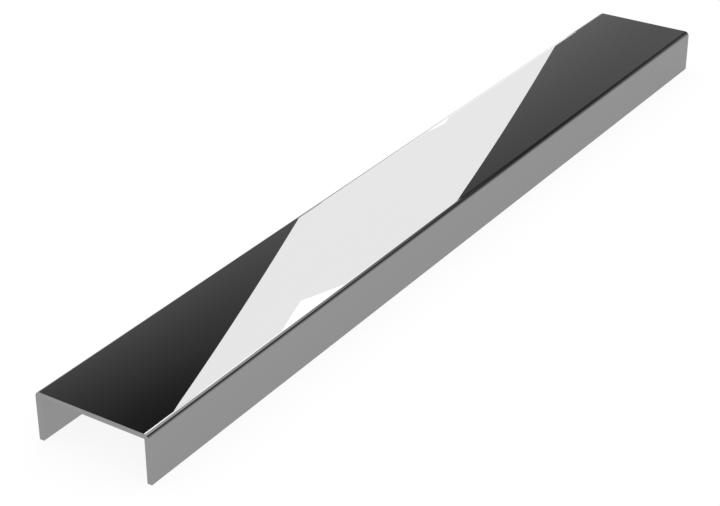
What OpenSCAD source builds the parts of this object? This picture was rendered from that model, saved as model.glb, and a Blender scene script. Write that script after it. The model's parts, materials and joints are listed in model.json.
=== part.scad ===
// U-shaped trim profile folded from one strip of polished stainless sheet.
// It lies with its two flanges down and its show face up, ready to cap a panel edge or to be
// bedded between tiles. Millimetres. The length runs along X, the width along Y, and Z is up.
// The origin is the middle of the footprint, on the plane that both flange edges stand on.

/* [Overall size] */
// Length of the cut piece
profile_length = 214; // [40:1:3000]
// Width over the two flanges
profile_width = 25; // [15:0.5:60]
// Height from the flange edges to the show face
profile_height = 10; // [6:0.5:40]

/* [Sheet and folds] */
// Thickness of the stainless sheet
sheet_thickness = 1; // [0.5:0.1:2]
// Inside radius of the two folds
fold_inside_radius = 0.1; // [0.1:0.1:2]
// Chamfer that deburring leaves on the two free edges of the strip
edge_break = 0.1; // [0.05:0.05:0.2]

/* [Hidden] */
$fn = 96;

// The sheet keeps its thickness round a fold, so the outside radius follows from it.
fold_outside_radius = fold_inside_radius + sheet_thickness;
// A fold's centre lies this far out from the middle of the web, and this far above the flange edges.
fold_centre_y = profile_width / 2 - fold_outside_radius;
fold_centre_z = profile_height - fold_outside_radius;

// The flat of the web, between the two folds.
module web_section() {
    translate([-fold_centre_y, profile_height - sheet_thickness])
        square([2 * fold_centre_y, sheet_thickness]);
}

// One fold: a quarter ring from the end of the web down to the top of the flange.
module fold_section() {
    translate([fold_centre_y, fold_centre_z])
        intersection() {
            difference() {
                circle(r = fold_outside_radius);
                circle(r = fold_inside_radius);
            }
            square(fold_outside_radius);
        }
}

// One flange, from the fold down to its free edge, with both corners of that edge broken.
module flange_section() {
    inner_face = profile_width / 2 - sheet_thickness;
    outer_face = profile_width / 2;
    polygon([
        [inner_face, fold_centre_z],
        [inner_face, edge_break],
        [inner_face + edge_break, 0],
        [outer_face - edge_break, 0],
        [outer_face, edge_break],
        [outer_face, fold_centre_z]
    ]);
}

// The whole folded strip in cross-section.
module folded_section() {
    web_section();
    for (side = [0, 1])
        mirror([side, 0]) {
            fold_section();
            flange_section();
        }
}

// The profile cut square to its length, with the section's x and y turned to lie along Y and Z.
module trim_profile() {
    color("silver")
        rotate([90, 0, 90])
            linear_extrude(height = profile_length, center = true)
                folded_section();
}

trim_profile();
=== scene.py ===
"""Looks of a stainless steel trim profile: 1 mm sheet folded into a U and polished to a mirror.

The section is swept by a Geometry Nodes tree, its cut ends are deburred, and its three
surfaces get three finishes: the mirror-polished show side, the mill finish of the channel and
the sheared edges. Lengths are in metres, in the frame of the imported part.
"""

import json
import logging
import math
from dataclasses import dataclass, field, replace
from enum import Enum
from typing import Any, Optional

import bmesh
import bpy
from mathutils import Matrix, Vector

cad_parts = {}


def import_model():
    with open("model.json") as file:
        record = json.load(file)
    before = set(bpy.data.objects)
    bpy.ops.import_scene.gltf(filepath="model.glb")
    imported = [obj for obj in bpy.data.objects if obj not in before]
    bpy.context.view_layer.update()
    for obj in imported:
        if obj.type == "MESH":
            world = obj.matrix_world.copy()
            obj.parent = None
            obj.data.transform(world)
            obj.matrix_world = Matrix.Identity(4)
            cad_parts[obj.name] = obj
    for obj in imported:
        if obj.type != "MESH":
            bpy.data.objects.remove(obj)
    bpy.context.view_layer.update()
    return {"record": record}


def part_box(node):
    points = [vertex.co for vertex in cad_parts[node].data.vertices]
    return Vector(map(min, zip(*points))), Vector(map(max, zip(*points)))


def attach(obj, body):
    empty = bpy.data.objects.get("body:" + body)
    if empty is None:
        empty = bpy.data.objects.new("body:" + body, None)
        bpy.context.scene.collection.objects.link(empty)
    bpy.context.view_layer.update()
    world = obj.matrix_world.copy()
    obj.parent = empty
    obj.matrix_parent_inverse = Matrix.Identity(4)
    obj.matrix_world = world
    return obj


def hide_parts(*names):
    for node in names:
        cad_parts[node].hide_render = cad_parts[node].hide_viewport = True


LOG = logging.getLogger("trim_profile")
CAD_NODE = "trim_profile"
MM = 0.001

# What the floor and the horizon look like in polished metal, against 1 where they are seen
# directly: a mirror finish shows a white room as a mid grey because the room is dimmer than
# the sheet of light paper that the part stands on.
SEEN_IN_METAL = 0.5


def linear(hex_colour: str) -> tuple[float, float, float, float]:
    """Turns an sRGB hex colour into linear RGBA.

    Args:
        hex_colour: Six hex digits, with or without a leading '#'.

    Returns:
        Linear red, green, blue and an alpha of 1.
    """
    digits = hex_colour.lstrip("#")
    parts = [int(digits[i:i + 2], 16) / 255 for i in (0, 2, 4)]
    r, g, b = [p / 12.92 if p <= 0.04045 else ((p + 0.055) / 1.055) ** 2.4 for p in parts]
    return (r, g, b, 1.0)


def add_node(tree: bpy.types.NodeTree, kind: str, settings: Optional[dict[str, Any]] = None,
             feeds: Optional[dict[Any, Any]] = None) -> bpy.types.Node:
    """Adds a node, sets its properties, and fills or links its inputs.

    Args:
        tree: The tree that gets the node.
        kind: Blender's name for the type of node.
        settings: Property names and their values, set before the inputs.
        feeds: Input names or numbers, each with a value or with the socket linked to it.

    Returns:
        The new node.
    """
    node = tree.nodes.new(kind)
    for name, value in (settings or {}).items():
        setattr(node, name, value)
    for name, value in (feeds or {}).items():
        if isinstance(value, bpy.types.NodeSocket):
            tree.links.new(value, node.inputs[name])
        else:
            node.inputs[name].default_value = value
    return node


def blank_material(name: str) -> tuple[bpy.types.Material, bpy.types.NodeTree]:
    """Makes a material with an empty node tree.

    Args:
        name: The material's name.

    Returns:
        The material and its tree.
    """
    material = bpy.data.materials.new(name)
    material.use_nodes = True
    material.node_tree.nodes.clear()
    return material, material.node_tree


# Nearly all of a noise texture's values lie between these two.
NOISE_LOW, NOISE_HIGH = 0.3, 0.7


class Grain(Enum):
    """Which way a finish was worked, as how much its marks are drawn out along X, Y and Z."""

    ALONG_LENGTH = (0.02, 1.0, 1.0)
    ALL_WAYS = (1.0, 1.0, 1.0)
    DOWN_THE_CUT = (1.0, 1.0, 0.06)


@dataclass(frozen=True)
class SteelFinish:
    """One finish of the same steel: how bright it is, how it scatters, and its marks."""

    name: str
    colour: str
    edge_tint: str
    roughness: float
    roughness_spread: float
    tint_spread: float
    grain: Grain
    mark_width: float
    mark_height: float
    cloud_width: float
    mark_detail: float = 3.0
    mark_harshness: float = 0.65
    cloud_detail: float = 2.0
    cloud_share: float = 0.35

    def material(self) -> bpy.types.Material:
        """Builds the procedural material.

        Returns:
            The material, driven by the piece's own Object coordinates.
        """
        material, tree = blank_material(self.name)
        place = add_node(tree, "ShaderNodeTexCoord").outputs["Object"]
        drawn_out = add_node(tree, "ShaderNodeMapping", feeds={
            "Vector": place, "Scale": self.grain.value})
        marks = add_node(tree, "ShaderNodeTexNoise", {"noise_dimensions": "3D"}, {
            "Vector": drawn_out.outputs["Vector"], "Scale": 1 / self.mark_width,
            "Detail": self.mark_detail, "Roughness": self.mark_harshness})
        clouds = add_node(tree, "ShaderNodeTexNoise", {"noise_dimensions": "3D"}, {
            "Vector": place, "Scale": 1 / self.cloud_width, "Detail": self.cloud_detail})
        both = add_node(tree, "ShaderNodeMix", {"data_type": "FLOAT"}, {
            0: self.cloud_share, 2: marks.outputs["Fac"], 3: clouds.outputs["Fac"]})
        rough = add_node(tree, "ShaderNodeMapRange", feeds={
            "Value": both.outputs[0], "From Min": NOISE_LOW, "From Max": NOISE_HIGH,
            "To Min": self.roughness - self.roughness_spread,
            "To Max": self.roughness + self.roughness_spread})
        shade = add_node(tree, "ShaderNodeMapRange", feeds={
            "Value": marks.outputs["Fac"], "From Min": NOISE_LOW, "From Max": NOISE_HIGH,
            "To Min": 1 - self.tint_spread, "To Max": 1 + self.tint_spread})
        tinted = add_node(tree, "ShaderNodeVectorMath", {"operation": "SCALE"}, {
            0: linear(self.colour)[:3], "Scale": shade.outputs["Result"]})
        steel = add_node(tree, "ShaderNodeBsdfPrincipled", feeds={
            "Base Color": tinted.outputs["Vector"], "Metallic": 1.0,
            "Specular Tint": linear(self.edge_tint), "Roughness": rough.outputs["Result"]})
        if self.mark_height > 0:
            relief = add_node(tree, "ShaderNodeBump", feeds={
                "Strength": 1.0, "Distance": self.mark_height, "Height": marks.outputs["Fac"]})
            tree.links.new(relief.outputs["Normal"], steel.inputs["Normal"])
        add_node(tree, "ShaderNodeOutputMaterial", feeds={"Surface": steel.outputs["BSDF"]})
        return material


# Mirror-polished 304 stainless, buffed along the strip: the eye sees the room in it, sharp,
# with only a breath of fine lines along the length where light grazes them.
MIRROR_POLISHED = SteelFinish(
    name="mirror_polished_stainless", colour="#C8C8C8", edge_tint="#F3F3F3", roughness=0.004,
    roughness_spread=0.003, tint_spread=0.008, grain=Grain.ALONG_LENGTH,
    mark_width=0.6 * MM, mark_height=0.0, cloud_width=18 * MM)

# Cold-rolled mill finish, the unpolished side of the sheet: a soft, hazy grey that shows only
# broad light and dark, with the faint grain of the rolls.
MILL_ROLLED = SteelFinish(
    name="mill_rolled_stainless", colour="#CCCCCC", edge_tint="#F3F3F3", roughness=0.17,
    roughness_spread=0.04, tint_spread=0.02, grain=Grain.ALL_WAYS,
    mark_width=0.5 * MM, mark_height=0.002 * MM, cloud_width=12 * MM)

# Sawn ends and sheared edges, filed to take the burr off: satin, with short lines down the
# thickness of the cut. The lines are drawn 0.25 mm apart, coarser than the blade's.
SHEARED = SteelFinish(
    name="sheared_stainless_edge", colour="#C7C7C7", edge_tint="#F3F3F3", roughness=0.28,
    roughness_spread=0.05, tint_spread=0.025, grain=Grain.DOWN_THE_CUT,
    mark_width=0.25 * MM, mark_height=0.004 * MM, cloud_width=6 * MM)


@dataclass
class FoldedSection:
    """The U-shaped strip: its section, swept along X by a Geometry Nodes tree.

    The rings are the places along the length where the mesh has a section. An edge that turns
    by more than end_corner_from degrees is a rim of an end, and is broken. Where two faces
    meet and one is sliver_share times as large as the other, the shading is split.
    """

    low: Vector
    high: Vector
    sheet: float
    fold_inside_radius: float = 0.1 * MM
    edge_break: float = 0.05 * MM
    end_break: float = 0.02 * MM
    fold_steps: int = 24
    break_steps: int = 4
    end_break_steps: int = 2
    end_corner_from: float = 60.0
    rings: int = 33
    sliver_share: float = 5.0
    name: str = "folded_trim_profile"
    inputs: dict[str, str] = field(default_factory=dict)

    @property
    def size(self) -> Vector:
        """Length, width and height of the section's box."""
        return self.high - self.low

    def section_tree(self) -> bpy.types.NodeTree:
        """Builds the tree that draws the section's outline and sweeps it along the length.

        The outline has eight corners, numbered from the foot of the front flange over the
        top to the foot of the rear one (0 to 3), and back along the inside (4 to 7).

        Returns:
            The node tree, with its named inputs.
        """
        tree = bpy.data.node_groups.new("folded section", "GeometryNodeTree")
        face = tree.interface
        face.new_socket(name="Geometry", in_out="OUTPUT", socket_type="NodeSocketGeometry")
        for label in ("Length", "Width", "Height", "Sheet", "Fold Radius", "Edge Break"):
            face.new_socket(name=label, in_out="INPUT", socket_type="NodeSocketFloat")
        for label in ("Fold Steps", "Break Steps", "Rings"):
            face.new_socket(name=label, in_out="INPUT", socket_type="NodeSocketInt")
        for label in ("Show Side", "Channel Side", "Cut Edges"):
            face.new_socket(name=label, in_out="INPUT", socket_type="NodeSocketMaterial")
        self.inputs = {s.name: s.identifier for s in face.items_tree
                       if s.item_type == "SOCKET" and s.in_out == "INPUT"}
        given = add_node(tree, "NodeGroupInput").outputs
        outline = self._outline(tree, given)
        swept = self._sweep(tree, given, outline)
        self._finishes(tree, given, swept)
        return tree

    def _outline(self, tree: bpy.types.NodeTree,
                 given: bpy.types.NodeOutputs) -> bpy.types.NodeSocket:
        """Draws the closed outline of the sheet, with its folds and edge breaks.

        Args:
            tree: The tree to add to.
            given: The sockets of the tree's inputs.

        Returns:
            The outline's curve.
        """
        math_node = "ShaderNodeMath"
        # Corners 0 to 3 lie outside and 4 to 7 inside, 2 to 5 at the rear and the others in
        # front, and the two in the middle of each four are at the top.
        corner_count, per_side, turn_back, mid_top = 8, 4.0, 3.5, 1.5
        corner = add_node(tree, "GeometryNodeInputIndex").outputs[0]
        inside = add_node(tree, math_node, {"operation": "GREATER_THAN"},
                          {0: corner, 1: turn_back})
        off_middle = add_node(tree, math_node, {"operation": "SUBTRACT"},
                              {0: corner, 1: turn_back})
        from_middle = add_node(tree, math_node, {"operation": "ABSOLUTE"},
                               {0: off_middle.outputs[0]})
        rear = add_node(tree, math_node, {"operation": "LESS_THAN"},
                        {0: from_middle.outputs[0], 1: per_side / 2})
        # From 0 in front and 1 at the rear to -1 and 1.
        side = add_node(tree, math_node, {"operation": "MULTIPLY_ADD"},
                        {0: rear.outputs[0], 1: 2.0, 2: -1.0})
        in_four = add_node(tree, math_node, {"operation": "MODULO"}, {0: corner, 1: per_side})
        off_top = add_node(tree, math_node, {"operation": "SUBTRACT"},
                           {0: in_four.outputs[0], 1: mid_top})
        from_top = add_node(tree, math_node, {"operation": "ABSOLUTE"}, {0: off_top.outputs[0]})
        top = add_node(tree, math_node, {"operation": "LESS_THAN"},
                       {0: from_top.outputs[0], 1: 1.0})
        inset = add_node(tree, math_node, {"operation": "MULTIPLY"},
                         {0: given["Sheet"], 1: inside.outputs[0]})
        half = add_node(tree, math_node, {"operation": "MULTIPLY"}, {0: given["Width"], 1: 0.5})
        reach = add_node(tree, math_node, {"operation": "SUBTRACT"},
                         {0: half.outputs[0], 1: inset.outputs[0]})
        across = add_node(tree, math_node, {"operation": "MULTIPLY"},
                          {0: side.outputs[0], 1: reach.outputs[0]})
        rise = add_node(tree, math_node, {"operation": "SUBTRACT"},
                        {0: given["Height"], 1: inset.outputs[0]})
        up = add_node(tree, math_node, {"operation": "MULTIPLY"},
                      {0: top.outputs[0], 1: rise.outputs[0]})
        place = add_node(tree, "ShaderNodeCombineXYZ", feeds={
            "X": across.outputs[0], "Y": up.outputs[0]})
        ring = add_node(tree, "GeometryNodeCurvePrimitiveCircle", {"mode": "RADIUS"},
                        {"Resolution": corner_count})
        corners = add_node(tree, "GeometryNodeSetPosition", feeds={
            "Geometry": ring.outputs["Curve"], "Position": place.outputs["Vector"]})
        outer_radius = add_node(tree, math_node, {"operation": "ADD"},
                                {0: given["Fold Radius"], 1: given["Sheet"]})
        fold = add_node(tree, "GeometryNodeSwitch", {"input_type": "FLOAT"}, {
            "Switch": inside.outputs[0], "False": outer_radius.outputs[0],
            "True": given["Fold Radius"]})
        radius = add_node(tree, "GeometryNodeSwitch", {"input_type": "FLOAT"}, {
            "Switch": top.outputs[0], "False": given["Edge Break"], "True": fold.outputs[0]})
        steps = add_node(tree, "GeometryNodeSwitch", {"input_type": "INT"}, {
            "Switch": top.outputs[0], "False": given["Break Steps"],
            "True": given["Fold Steps"]})
        rounded = add_node(tree, "GeometryNodeFilletCurve", {"mode": "POLY"}, {
            "Curve": corners.outputs["Geometry"], "Count": steps.outputs[0],
            "Radius": radius.outputs[0]})
        return rounded.outputs["Curve"]

    def _sweep(self, tree: bpy.types.NodeTree, given: bpy.types.NodeOutputs,
               outline: bpy.types.NodeSocket) -> bpy.types.NodeSocket:
        """Sweeps the outline along X, caps the ends, and shades it smooth.

        The sweep leaves the faces pointing into the sheet, so they are turned outwards.

        Args:
            tree: The tree to add to.
            given: The sockets of the tree's inputs.
            outline: The closed outline's curve.

        Returns:
            The swept mesh.
        """
        ahead = add_node(tree, "ShaderNodeMath", {"operation": "MULTIPLY"},
                         {0: given["Length"], 1: 0.5})
        behind = add_node(tree, "ShaderNodeMath", {"operation": "MULTIPLY"},
                          {0: given["Length"], 1: -0.5})
        start = add_node(tree, "ShaderNodeCombineXYZ", feeds={"X": behind.outputs[0]})
        end = add_node(tree, "ShaderNodeCombineXYZ", feeds={"X": ahead.outputs[0]})
        line = add_node(tree, "GeometryNodeCurvePrimitiveLine", {"mode": "POINTS"}, {
            "Start": start.outputs["Vector"], "End": end.outputs["Vector"]})
        ringed = add_node(tree, "GeometryNodeResampleCurve", {"mode": "COUNT"}, {
            "Curve": line.outputs["Curve"], "Count": given["Rings"]})
        upright = add_node(tree, "GeometryNodeSetCurveTilt", feeds={
            "Curve": ringed.outputs["Curve"], "Tilt": math.pi})
        swept = add_node(tree, "GeometryNodeCurveToMesh", feeds={
            "Curve": upright.outputs["Curve"], "Profile Curve": outline, "Fill Caps": True})
        outwards = add_node(tree, "GeometryNodeFlipFaces", feeds={"Mesh": swept.outputs["Mesh"]})
        smooth = add_node(tree, "GeometryNodeSetShadeSmooth", {"domain": "FACE"}, {
            "Geometry": outwards.outputs["Mesh"], "Shade Smooth": True})
        return smooth.outputs["Geometry"]

    def _finishes(self, tree: bpy.types.NodeTree, given: bpy.types.NodeOutputs,
                  swept: bpy.types.NodeSocket) -> None:
        """Gives the show side, the channel and the cut edges their own finishes.

        Args:
            tree: The tree to add to.
            given: The sockets of the tree's inputs.
            swept: The swept mesh.
        """
        math_node = "ShaderNodeMath"
        place = add_node(tree, "ShaderNodeSeparateXYZ", feeds={
            "Vector": add_node(tree, "GeometryNodeInputPosition").outputs[0]}).outputs
        facing = add_node(tree, "ShaderNodeSeparateXYZ", feeds={
            "Vector": add_node(tree, "GeometryNodeInputNormal").outputs[0]}).outputs
        half_sheet = add_node(tree, math_node, {"operation": "MULTIPLY"},
                              {0: given["Sheet"], 1: 0.5})
        half_width = add_node(tree, math_node, {"operation": "MULTIPLY"},
                              {0: given["Width"], 1: 0.5})
        wall = add_node(tree, math_node, {"operation": "SUBTRACT"},
                        {0: half_width.outputs[0], 1: half_sheet.outputs[0]})
        web = add_node(tree, math_node, {"operation": "SUBTRACT"},
                       {0: given["Height"], 1: half_sheet.outputs[0]})
        off_axis = add_node(tree, math_node, {"operation": "ABSOLUTE"}, {0: place["Y"]})
        between = add_node(tree, math_node, {"operation": "LESS_THAN"},
                           {0: off_axis.outputs[0], 1: wall.outputs[0]})
        under = add_node(tree, math_node, {"operation": "LESS_THAN"},
                         {0: place["Z"], 1: web.outputs[0]})
        channel = add_node(tree, math_node, {"operation": "MULTIPLY"},
                           {0: between.outputs[0], 1: under.outputs[0]})
        lengthwise = add_node(tree, math_node, {"operation": "ABSOLUTE"}, {0: facing["X"]})
        end = add_node(tree, math_node, {"operation": "GREATER_THAN"},
                       {0: lengthwise.outputs[0], 1: 0.5})
        foot = add_node(tree, math_node, {"operation": "LESS_THAN"},
                        {0: place["Z"], 1: given["Edge Break"]})
        cut = add_node(tree, math_node, {"operation": "MAXIMUM"},
                       {0: end.outputs[0], 1: foot.outputs[0]})
        real = add_node(tree, "GeometryNodeRealizeInstances", feeds={"Geometry": swept})
        shown = add_node(tree, "GeometryNodeSetMaterial", feeds={
            "Geometry": real.outputs["Geometry"], "Material": given["Show Side"]})
        lined = add_node(tree, "GeometryNodeSetMaterial", feeds={
            "Geometry": shown.outputs["Geometry"], "Selection": channel.outputs[0],
            "Material": given["Channel Side"]})
        edged = add_node(tree, "GeometryNodeSetMaterial", feeds={
            "Geometry": lined.outputs["Geometry"], "Selection": cut.outputs[0],
            "Material": given["Cut Edges"]})
        add_node(tree, "NodeGroupOutput", feeds={"Geometry": edged.outputs["Geometry"]})

    def build(self) -> bpy.types.Object:
        """Sweeps the section, deburrs its ends and turns the result into a plain mesh.

        Returns:
            The finished piece, a plain mesh with its place in it.
        """
        tree = self.section_tree()
        piece = bpy.data.objects.new(self.name, bpy.data.meshes.new(self.name))
        bpy.context.scene.collection.objects.link(piece)
        sweep = piece.modifiers.new("sweep the section", "NODES")
        sweep.node_group = tree
        values = {
            "Length": self.size.x, "Width": self.size.y, "Height": self.size.z,
            "Sheet": self.sheet, "Fold Radius": self.fold_inside_radius,
            "Edge Break": self.edge_break, "Fold Steps": self.fold_steps,
            "Break Steps": self.break_steps, "Rings": self.rings,
            "Show Side": MIRROR_POLISHED.material(),
            "Channel Side": MILL_ROLLED.material(), "Cut Edges": SHEARED.material(),
        }
        for label, value in values.items():
            sweep[self.inputs[label]] = value
        deburr = piece.modifiers.new("deburr the ends", "BEVEL")
        deburr.width = self.end_break
        deburr.segments = self.end_break_steps
        deburr.limit_method = "ANGLE"
        deburr.angle_limit = math.radians(self.end_corner_from)
        deburr.use_clamp_overlap = False
        graph = bpy.context.evaluated_depsgraph_get()
        mesh = bpy.data.meshes.new_from_object(
            piece.evaluated_get(graph), preserve_all_data_layers=True, depsgraph=graph)
        piece.modifiers.clear()
        piece.data = mesh
        mesh.name = self.name
        middle = Vector(((self.low.x + self.high.x) / 2, (self.low.y + self.high.y) / 2,
                         self.low.z))
        mesh.transform(Matrix.Translation(middle))
        self._hold_flats(mesh)
        return piece

    def _hold_flats(self, mesh: bpy.types.Mesh) -> None:
        """Splits the shading where a wide face meets a sliver of a fold or a broken edge.

        A mirror shows a tilt of a twentieth of a degree, so no fold may lean on the normals
        of a flat.

        Args:
            mesh: The finished mesh.
        """
        work = bmesh.new()
        work.from_mesh(mesh)
        for edge in work.edges:
            areas = [face.calc_area() for face in edge.link_faces]
            edge.smooth = max(areas) < self.sliver_share * min(areas)
        work.to_mesh(mesh)
        work.free()


@dataclass(frozen=True)
class Aim:
    """A direction from the part towards a light, and how the light is turned there."""

    azimuth: float
    elevation: float
    roll: float
    distance: float = 1.5

    def matrix(self, origin: Vector) -> Matrix:
        """Places a plane square to the direction: X across it, Y along it, Z to the part.

        Args:
            origin: The point that the direction starts from.

        Returns:
            The plane's matrix.
        """
        a, e, r = (math.radians(v) for v in (self.azimuth, self.elevation, self.roll))
        out = Vector((math.cos(e) * math.cos(a), math.cos(e) * math.sin(a), math.sin(e)))
        right = out.cross(Vector((0, 0, 1))).normalized()
        up = right.cross(out)
        across = right * math.cos(r) + up * math.sin(r)
        along = up * math.cos(r) - right * math.sin(r)
        turn = Matrix((across, along, -out)).transposed().to_4x4()
        return Matrix.Translation(origin + out * self.distance) @ turn


@dataclass(frozen=True)
class BowedEdge:
    """A long edge that bows out to a crest, and falls back as the square of the way from it."""

    ends: float
    crest: float
    crest_at: float
    reach: float

    def at(self, along: float) -> float:
        """Finds how far out the edge lies at a place along it.

        Args:
            along: The place along the edge, in metres.

        Returns:
            The place across it, in metres.
        """
        away = min(abs(along - self.crest_at) / self.reach, 1.0)
        return self.crest + (self.ends - self.crest) * away ** 2

    def points(self, start: float, stop: float, steps: int) -> list[tuple[float, float]]:
        """Samples the edge evenly.

        Args:
            start: The first place along the edge.
            stop: The last one.
            steps: The number of steps between them.

        Returns:
            The places, each along the edge and across it.
        """
        places = [start + (stop - start) * i / steps for i in range(steps + 1)]
        return [(along, self.at(along)) for along in places]


@dataclass(frozen=True)
class CardRow:
    """A row of cards on the horizon, under one sloping rim and down to one foot."""

    middle_rim: float = 0.4885
    rim_slope: float = -0.63
    upright_at: float = -0.2
    foot: float = -0.26
    side_steps: int = 10

    def at_rim(self, across: float) -> tuple[float, float]:
        """Gives the point on the rim at a place across the row."""
        return across, self.middle_rim + self.rim_slope * across

    def side(self, top: float, low: float) -> list[tuple[float, float]]:
        """Draws the side of a card, which stands upright low down and leans over above.

        A fold shows a side that leans like this as a line straight across itself.

        Args:
            top: The side's place across the row where it meets the rim.
            low: Its place across the row where it stands upright.

        Returns:
            The points of the side, from the rim down to the foot.
        """
        rim = self.at_rim(top)[1]
        lean = BowedEdge(ends=top, crest=low, crest_at=self.upright_at,
                         reach=rim - self.upright_at)
        return [(across, up) for up, across in lean.points(rim, self.foot, self.side_steps)]


@dataclass(frozen=True)
class LightPanel:
    """A flat panel of light that only polished metal sees, even or fading.

    The corners are places across and along the panel. Each fade gives the place where the
    light is gone and the place where it is full, and the ceiling is the most that it reaches.
    """

    name: str
    aim: Aim
    corners: tuple[tuple[float, float], ...]
    strength: float
    fade_across: Optional[tuple[float, float]] = None
    fade_along: Optional[tuple[float, float]] = None
    ceiling: Optional[float] = None

    def build(self, origin: Vector) -> bpy.types.Object:
        """Makes the panel.

        Args:
            origin: The point that it is aimed from.

        Returns:
            The panel's object.
        """
        mesh = bpy.data.meshes.new(self.name)
        mesh.from_pydata([(x, y, 0.0) for x, y in self.corners], [],
                         [tuple(range(len(self.corners)))])
        mesh.materials.append(self._material())
        panel = bpy.data.objects.new(self.name, mesh)
        bpy.context.scene.collection.objects.link(panel)
        panel.matrix_world = self.aim.matrix(origin)
        panel.visible_camera = False
        panel.visible_diffuse = False
        panel.visible_shadow = False
        return panel

    def _material(self) -> bpy.types.Material:
        """Builds the panel's light. A panel that fades adds its light to what lies behind it.

        Returns:
            The material.
        """
        material, tree = blank_material(self.name)
        place = add_node(tree, "ShaderNodeTexCoord").outputs["Object"]
        axes = add_node(tree, "ShaderNodeSeparateXYZ", feeds={"Vector": place}).outputs
        level: float | bpy.types.NodeSocket = self.strength
        for axis, fade in (("X", self.fade_across), ("Y", self.fade_along)):
            if fade:
                share = add_node(tree, "ShaderNodeMapRange", {"interpolation_type": "LINEAR"}, {
                    "Value": axes[axis], "From Min": fade[0], "From Max": fade[1]})
                level = add_node(tree, "ShaderNodeMath", {"operation": "MULTIPLY"}, {
                    0: level, 1: share.outputs["Result"]}).outputs[0]
        if self.ceiling:
            level = add_node(tree, "ShaderNodeMath", {"operation": "MINIMUM"}, {
                0: level, 1: self.ceiling}).outputs[0]
        glow = add_node(tree, "ShaderNodeEmission", feeds={"Strength": level})
        surface = glow.outputs["Emission"]
        if self.fade_across or self.fade_along:
            clear = add_node(tree, "ShaderNodeBsdfTransparent")
            surface = add_node(tree, "ShaderNodeAddShader", feeds={
                0: surface, 1: clear.outputs["BSDF"]}).outputs["Shader"]
        add_node(tree, "ShaderNodeOutputMaterial", feeds={"Surface": surface})
        material.cycles.emission_sampling = "NONE"
        return material


@dataclass(frozen=True)
class RoomPatch:
    """A round patch of the room, full out to one angle and gone by another, in degrees.

    Where it is full, it changes the root of the room's level by this share of itself. An
    ease above 1 makes it fall off sooner.
    """

    azimuth: float
    elevation: float
    full_to: float
    gone_by: float
    change: float
    ease: float = 1.0

    def share(self, tree: bpy.types.NodeTree, way: bpy.types.NodeSocket,
              shape: str) -> bpy.types.NodeSocket:
        """Adds the nodes that say how far a direction lies inside the patch.

        Args:
            tree: The world's tree.
            way: The direction that is looked in.
            shape: Blender's name for how the share falls off between the two angles.

        Returns:
            A socket from 0, outside, to 1.
        """
        a, e = math.radians(self.azimuth), math.radians(self.elevation)
        centre = (math.cos(e) * math.cos(a), math.cos(e) * math.sin(a), math.sin(e))
        toward = add_node(tree, "ShaderNodeVectorMath", {"operation": "DOT_PRODUCT"}, {
            0: way, 1: centre})
        angle = add_node(tree, "ShaderNodeMath", {"operation": "ARCCOSINE"}, {
            0: toward.outputs["Value"]})
        inside = add_node(tree, "ShaderNodeMapRange", {"interpolation_type": shape}, {
            "Value": angle.outputs[0], "From Min": math.radians(self.gone_by),
            "From Max": math.radians(self.full_to)})
        eased = add_node(tree, "ShaderNodeMath", {"operation": "POWER"}, {
            0: inside.outputs["Result"], 1: self.ease})
        return eased.outputs[0]


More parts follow.
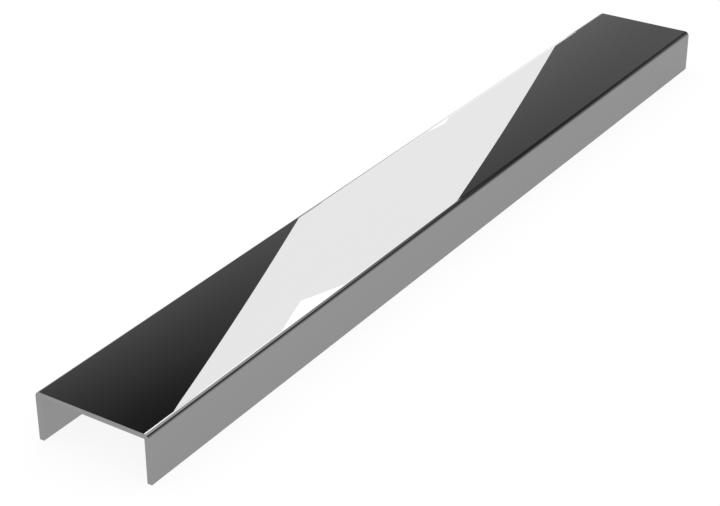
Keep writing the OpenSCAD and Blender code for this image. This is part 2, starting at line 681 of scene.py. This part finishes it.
@dataclass
class Studio:
    """The floor, the room and the light panels."""

    centre: Vector
    floor_half: float = 4.0
    floor_glow: float = 0.89
    floor_albedo: float = 0.12
    # The dark ceiling, a lighter opening in it over the far end, a faint lift low in front of
    # that end, and a dark spot above the key light.
    shades: tuple[RoomPatch, ...] = (
        RoomPatch(azimuth=40.0, elevation=89.0, full_to=55.5, gone_by=97.5, change=-0.76,
                  ease=1.4),
        RoomPatch(azimuth=-15.0, elevation=66.0, full_to=21.0, gone_by=30.5, change=3.2),
        RoomPatch(azimuth=-49.0, elevation=13.0, full_to=0.0, gone_by=20.0, change=0.12),
        RoomPatch(azimuth=37.5, elevation=37.5, full_to=3.5, gone_by=6.3, change=-0.34),
    )
    # A bright spot beside the key light, and a low pale wall behind the part.
    glows: tuple[RoomPatch, ...] = (
        RoomPatch(azimuth=53.0, elevation=23.0, full_to=5.5, gone_by=15.5, change=0.83),
        RoomPatch(azimuth=55.5, elevation=-6.0, full_to=36.0, gone_by=42.0, change=0.52),
    )
    # The key light is a strip with bowed long edges, which lies across the show face. The
    # lights overhead start from a bowed sill beside it. They and the patches stand a little
    # nearer or farther than the strip, so that no two coincide.
    key: Aim = Aim(azimuth=33.0, elevation=27.5, roll=32.3)
    strip_low: BowedEdge = BowedEdge(ends=-0.0698, crest=-0.0662, crest_at=0.127, reach=0.165)
    strip_high: BowedEdge = BowedEdge(ends=0.0629, crest=0.0647, crest_at=-0.144, reach=0.09)
    strip_reach: tuple[float, float] = (-0.6, 0.305)
    strip_steps: int = 45
    sill: BowedEdge = BowedEdge(ends=-0.04, crest=0.036, crest_at=0.6, reach=0.537)
    sill_steps: int = 12
    strip_light: float = 1.37
    patch_light: float = 1.9
    patch_distance: float = 1.49
    soft_distance: float = 1.47
    bright_distance: float = 1.45
    glow_distance: float = 1.51
    # Half the width of the plain strips, and half the length of them and the lights overhead.
    ring_half_width: float = 0.065
    half_length: float = 0.6
    around: tuple[Aim, ...] = (
        Aim(azimuth=90.0, elevation=25.0, roll=32.3),
        Aim(azimuth=135.0, elevation=25.0, roll=-32.3),
        Aim(azimuth=180.0, elevation=25.0, roll=32.3),
        Aim(azimuth=225.0, elevation=25.0, roll=32.3),
        Aim(azimuth=270.0, elevation=25.0, roll=32.3),
        Aim(azimuth=0.0, elevation=88.0, roll=-50.0),
    )
    # The cards that the rear fold shows stand low behind the part.
    horizon: Aim = Aim(azimuth=40.0, elevation=10.0, roll=0.0, distance=1.4)
    card_row: CardRow = CardRow()

    def panels(self) -> list[LightPanel]:
        """Lists every light panel of the studio."""
        return self._ring() + self._cards() + self._key_light() + self._overhead_light()

    def _ring(self) -> list[LightPanel]:
        """Sets plain strips all round, for the views that don't find the key light.

        Returns:
            The strips.
        """
        half, end = self.ring_half_width, self.half_length
        plain = ((-half, -end), (half, -end), (half, end), (-half, end))
        return [LightPanel(f"ring_strip_{number}", aim, plain, self.strip_light)
                for number, aim in enumerate(self.around)]

    def _cards(self) -> list[LightPanel]:
        """Stands four cards side by side, which give the rear fold its light and dark.

        Returns:
            The cards.
        """
        row = self.card_row
        black_end = row.side(top=0.067, low=-0.115)
        white_start = [row.at_rim(0.092), (0.0, 0.25), (0.07, row.foot)]
        white_end = row.side(top=0.347, low=0.2)
        grey_start = row.side(top=0.357, low=0.206)
        black = (*row.side(top=-0.21, low=-0.51), *reversed(black_end))
        dim = (*black_end, *reversed(white_start))
        white = (*white_start, *reversed(white_end))
        grey = (*grey_start, (0.42, row.foot), row.at_rim(0.42))
        return [
            LightPanel("black_card", self.horizon, black, strength=0.11),
            LightPanel("white_card", self.horizon, white, strength=1.62),
            LightPanel("grey_card", self.horizon, grey, strength=0.33),
            LightPanel("dim_card", self.horizon, dim, strength=0.55),
        ]

    def _key_light(self) -> list[LightPanel]:
        """Hangs the strip that the show face reflects, with a brighter patch near each end.

        Returns:
            The strip and the patches.
        """
        foot, top = self.strip_reach
        outline = (self.strip_low.points(foot, top, self.strip_steps)
                   + self.strip_high.points(top, foot, self.strip_steps))
        strip = tuple((across, along) for along, across in outline)
        rim = self.strip_high.ends
        upper = ((-0.019, 0.127), (rim, 0.0175), (rim, 0.205), (-0.019, 0.205))
        lower = ((-0.067, 0.011), (-0.067, foot), (0.009, foot), (0.009, -0.109))
        near = replace(self.key, distance=self.patch_distance)
        return [
            LightPanel("key_strip", self.key, strip, self.strip_light),
            LightPanel("key_upper", near, upper, self.patch_light),
            LightPanel("key_lower", near, lower, self.patch_light),
        ]

    def _overhead_light(self) -> list[LightPanel]:
        """Hangs the lights past the strip's rim, which draw the bright line on the front fold.

        Returns:
            A glow at their foot, a broad soft light and a bright one.
        """
        rim, end = self.strip_high.ends, self.half_length
        soft = ((rim, -0.1), (2.2, -0.1), (2.2, end), (rim, end))
        glow = (*self.sill.points(rim, 0.38, self.sill_steps), (0.38, 0.1), (rim, 0.1))
        bright = (*self.sill.points(rim, 0.58, self.sill_steps), (0.58, end), (rim, end))
        return [
            LightPanel("overhead_foot", replace(self.key, distance=self.glow_distance), glow,
                       strength=1.75, fade_across=(0.38, 0.1), fade_along=(0.1, -0.03)),
            LightPanel("overhead_soft", replace(self.key, distance=self.soft_distance), soft,
                       strength=0.084, fade_across=(2.11, 1.89), fade_along=(0.27, 0.52)),
            LightPanel("overhead_bright", replace(self.key, distance=self.bright_distance),
                       bright, strength=7.3, fade_across=(0.57, 0.1),
                       fade_along=(-0.005, 0.443), ceiling=1.69),
        ]

    def build(self) -> list[bpy.types.Object]:
        """Builds the studio.

        Returns:
            The objects that aren't part of the piece.
        """
        self._room()
        made = [self._floor()] + [panel.build(self.centre) for panel in self.panels()]
        return made

    def _in_metal(self, tree: bpy.types.NodeTree) -> bpy.types.NodeSocket:
        """Tells rays that come off polished metal or through glass from all others.

        Args:
            tree: The tree to add to.

        Returns:
            A socket that is 1 for such a ray.
        """
        rays = add_node(tree, "ShaderNodeLightPath").outputs
        either = add_node(tree, "ShaderNodeMath", {"operation": "MAXIMUM"}, {
            0: rays["Is Glossy Ray"], 1: rays["Is Transmission Ray"]})
        return either.outputs[0]

    def _floor(self) -> bpy.types.Object:
        """Makes the pale floor, which keeps the soft shadow of the piece.

        Returns:
            The floor's object.
        """
        h = self.floor_half
        mesh = bpy.data.meshes.new("floor")
        mesh.from_pydata([(-h, -h, 0), (h, -h, 0), (h, h, 0), (-h, h, 0)], [], [(0, 1, 2, 3)])
        floor = bpy.data.objects.new("floor", mesh)
        bpy.context.scene.collection.objects.link(floor)
        material, tree = blank_material("white_backing_paper")
        seen = add_node(tree, "ShaderNodeMapRange", feeds={
            "Value": self._in_metal(tree), "To Min": 1.0, "To Max": SEEN_IN_METAL})
        glow = add_node(tree, "ShaderNodeMath", {"operation": "MULTIPLY"}, {
            0: seen.outputs["Result"], 1: self.floor_glow})
        paper = add_node(tree, "ShaderNodeMath", {"operation": "MULTIPLY"}, {
            0: seen.outputs["Result"], 1: self.floor_albedo})
        lit = add_node(tree, "ShaderNodeEmission", feeds={"Strength": glow.outputs[0]})
        matt = add_node(tree, "ShaderNodeBsdfDiffuse", feeds={"Color": paper.outputs[0]})
        both = add_node(tree, "ShaderNodeAddShader", feeds={
            0: lit.outputs["Emission"], 1: matt.outputs["BSDF"]})
        add_node(tree, "ShaderNodeOutputMaterial", feeds={"Surface": both.outputs["Shader"]})
        material.cycles.emission_sampling = "NONE"
        mesh.materials.append(material)
        return floor

    def _room(self) -> None:
        """Sets the room: white to the eye, and grey with a dark overhead in the metal.

        The patches work on the root of the level, so that they shade evenly to the eye.
        """
        world = bpy.data.worlds.new("studio")
        bpy.context.scene.world = world
        world.use_nodes = True
        tree = world.node_tree
        tree.nodes.clear()
        way = add_node(tree, "ShaderNodeTexCoord").outputs["Generated"]
        shares = ([(p, p.share(tree, way, "LINEAR")) for p in self.shades]
                  + [(p, p.share(tree, way, "SMOOTHSTEP")) for p in self.glows])
        level: float | bpy.types.NodeSocket = 1.0
        for patch, share in shares:
            change = add_node(tree, "ShaderNodeMath", {"operation": "MULTIPLY_ADD"}, {
                0: share, 1: patch.change, 2: 1.0})
            level = add_node(tree, "ShaderNodeMath", {"operation": "MULTIPLY"}, {
                0: level, 1: change.outputs[0]}).outputs[0]
        squared = add_node(tree, "ShaderNodeMath", {"operation": "POWER"}, {0: level, 1: 2.0})
        dimmed = add_node(tree, "ShaderNodeMath", {"operation": "MULTIPLY"}, {
            0: squared.outputs[0], 1: SEEN_IN_METAL})
        seen = add_node(tree, "ShaderNodeMix", {"data_type": "FLOAT"}, {
            0: self._in_metal(tree), 2: 1.0, 3: dimmed.outputs[0]})
        sky = add_node(tree, "ShaderNodeBackground", feeds={
            "Color": (1.0, 1.0, 1.0, 1.0), "Strength": seen.outputs[0]})
        add_node(tree, "ShaderNodeOutputWorld", feeds={"Surface": sky.outputs["Background"]})


@dataclass(frozen=True)
class ViewingCamera:
    """The camera: where it looks from, and at what."""

    azimuth: float = -56.624
    elevation: float = 28.525
    roll: float = -0.147
    distance: float = 0.36124
    aim: tuple[float, float, float] = (-0.02778, -0.00199, 0.005)
    lens: float = 89.964

    def build(self) -> bpy.types.Object:
        """Makes the camera and puts it in charge of the scene.

        Returns:
            The camera's object.
        """
        a, e = math.radians(self.azimuth), math.radians(self.elevation)
        back = Vector((math.sin(a) * math.cos(e), -math.cos(a) * math.cos(e), math.sin(e)))
        data = bpy.data.cameras.new("viewing_camera")
        data.lens = self.lens
        data.clip_start, data.clip_end = 0.01, 100.0
        camera = bpy.data.objects.new("viewing_camera", data)
        bpy.context.scene.collection.objects.link(camera)
        turn = (-back).to_track_quat("-Z", "Y").to_matrix().to_4x4()
        camera.matrix_world = (Matrix.Translation(Vector(self.aim) + back * self.distance)
                               @ turn @ Matrix.Rotation(math.radians(self.roll), 4, "Z"))
        bpy.context.scene.camera = camera
        return camera


def main() -> None:
    """Builds the piece, the studio and the camera, and reports each."""
    logging.basicConfig(level=logging.INFO, format="%(name)s: %(message)s", force=True)
    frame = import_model()
    low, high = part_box(CAD_NODE)
    web_back = next(m for m in frame["record"]["mounts"] if m["name"] == "web_back")
    section = FoldedSection(low, high, sheet=high.z - web_back["pos_m"][2])
    piece = section.build()
    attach(piece, "root")
    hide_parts(CAD_NODE)
    LOG.info("%s: %d faces, sheet %.2f mm", piece.name, len(piece.data.polygons),
             section.sheet / MM)
    centre = Vector(((low.x + high.x) / 2, (low.y + high.y) / 2, (low.z + high.z) / 2))
    for thing in Studio(centre).build():
        LOG.info("stage: %s", thing.name)
    LOG.info("camera: %s", ViewingCamera().build().name)
    bpy.context.scene.view_settings.view_transform = "Standard"


if __name__ == "__main__":
    main()
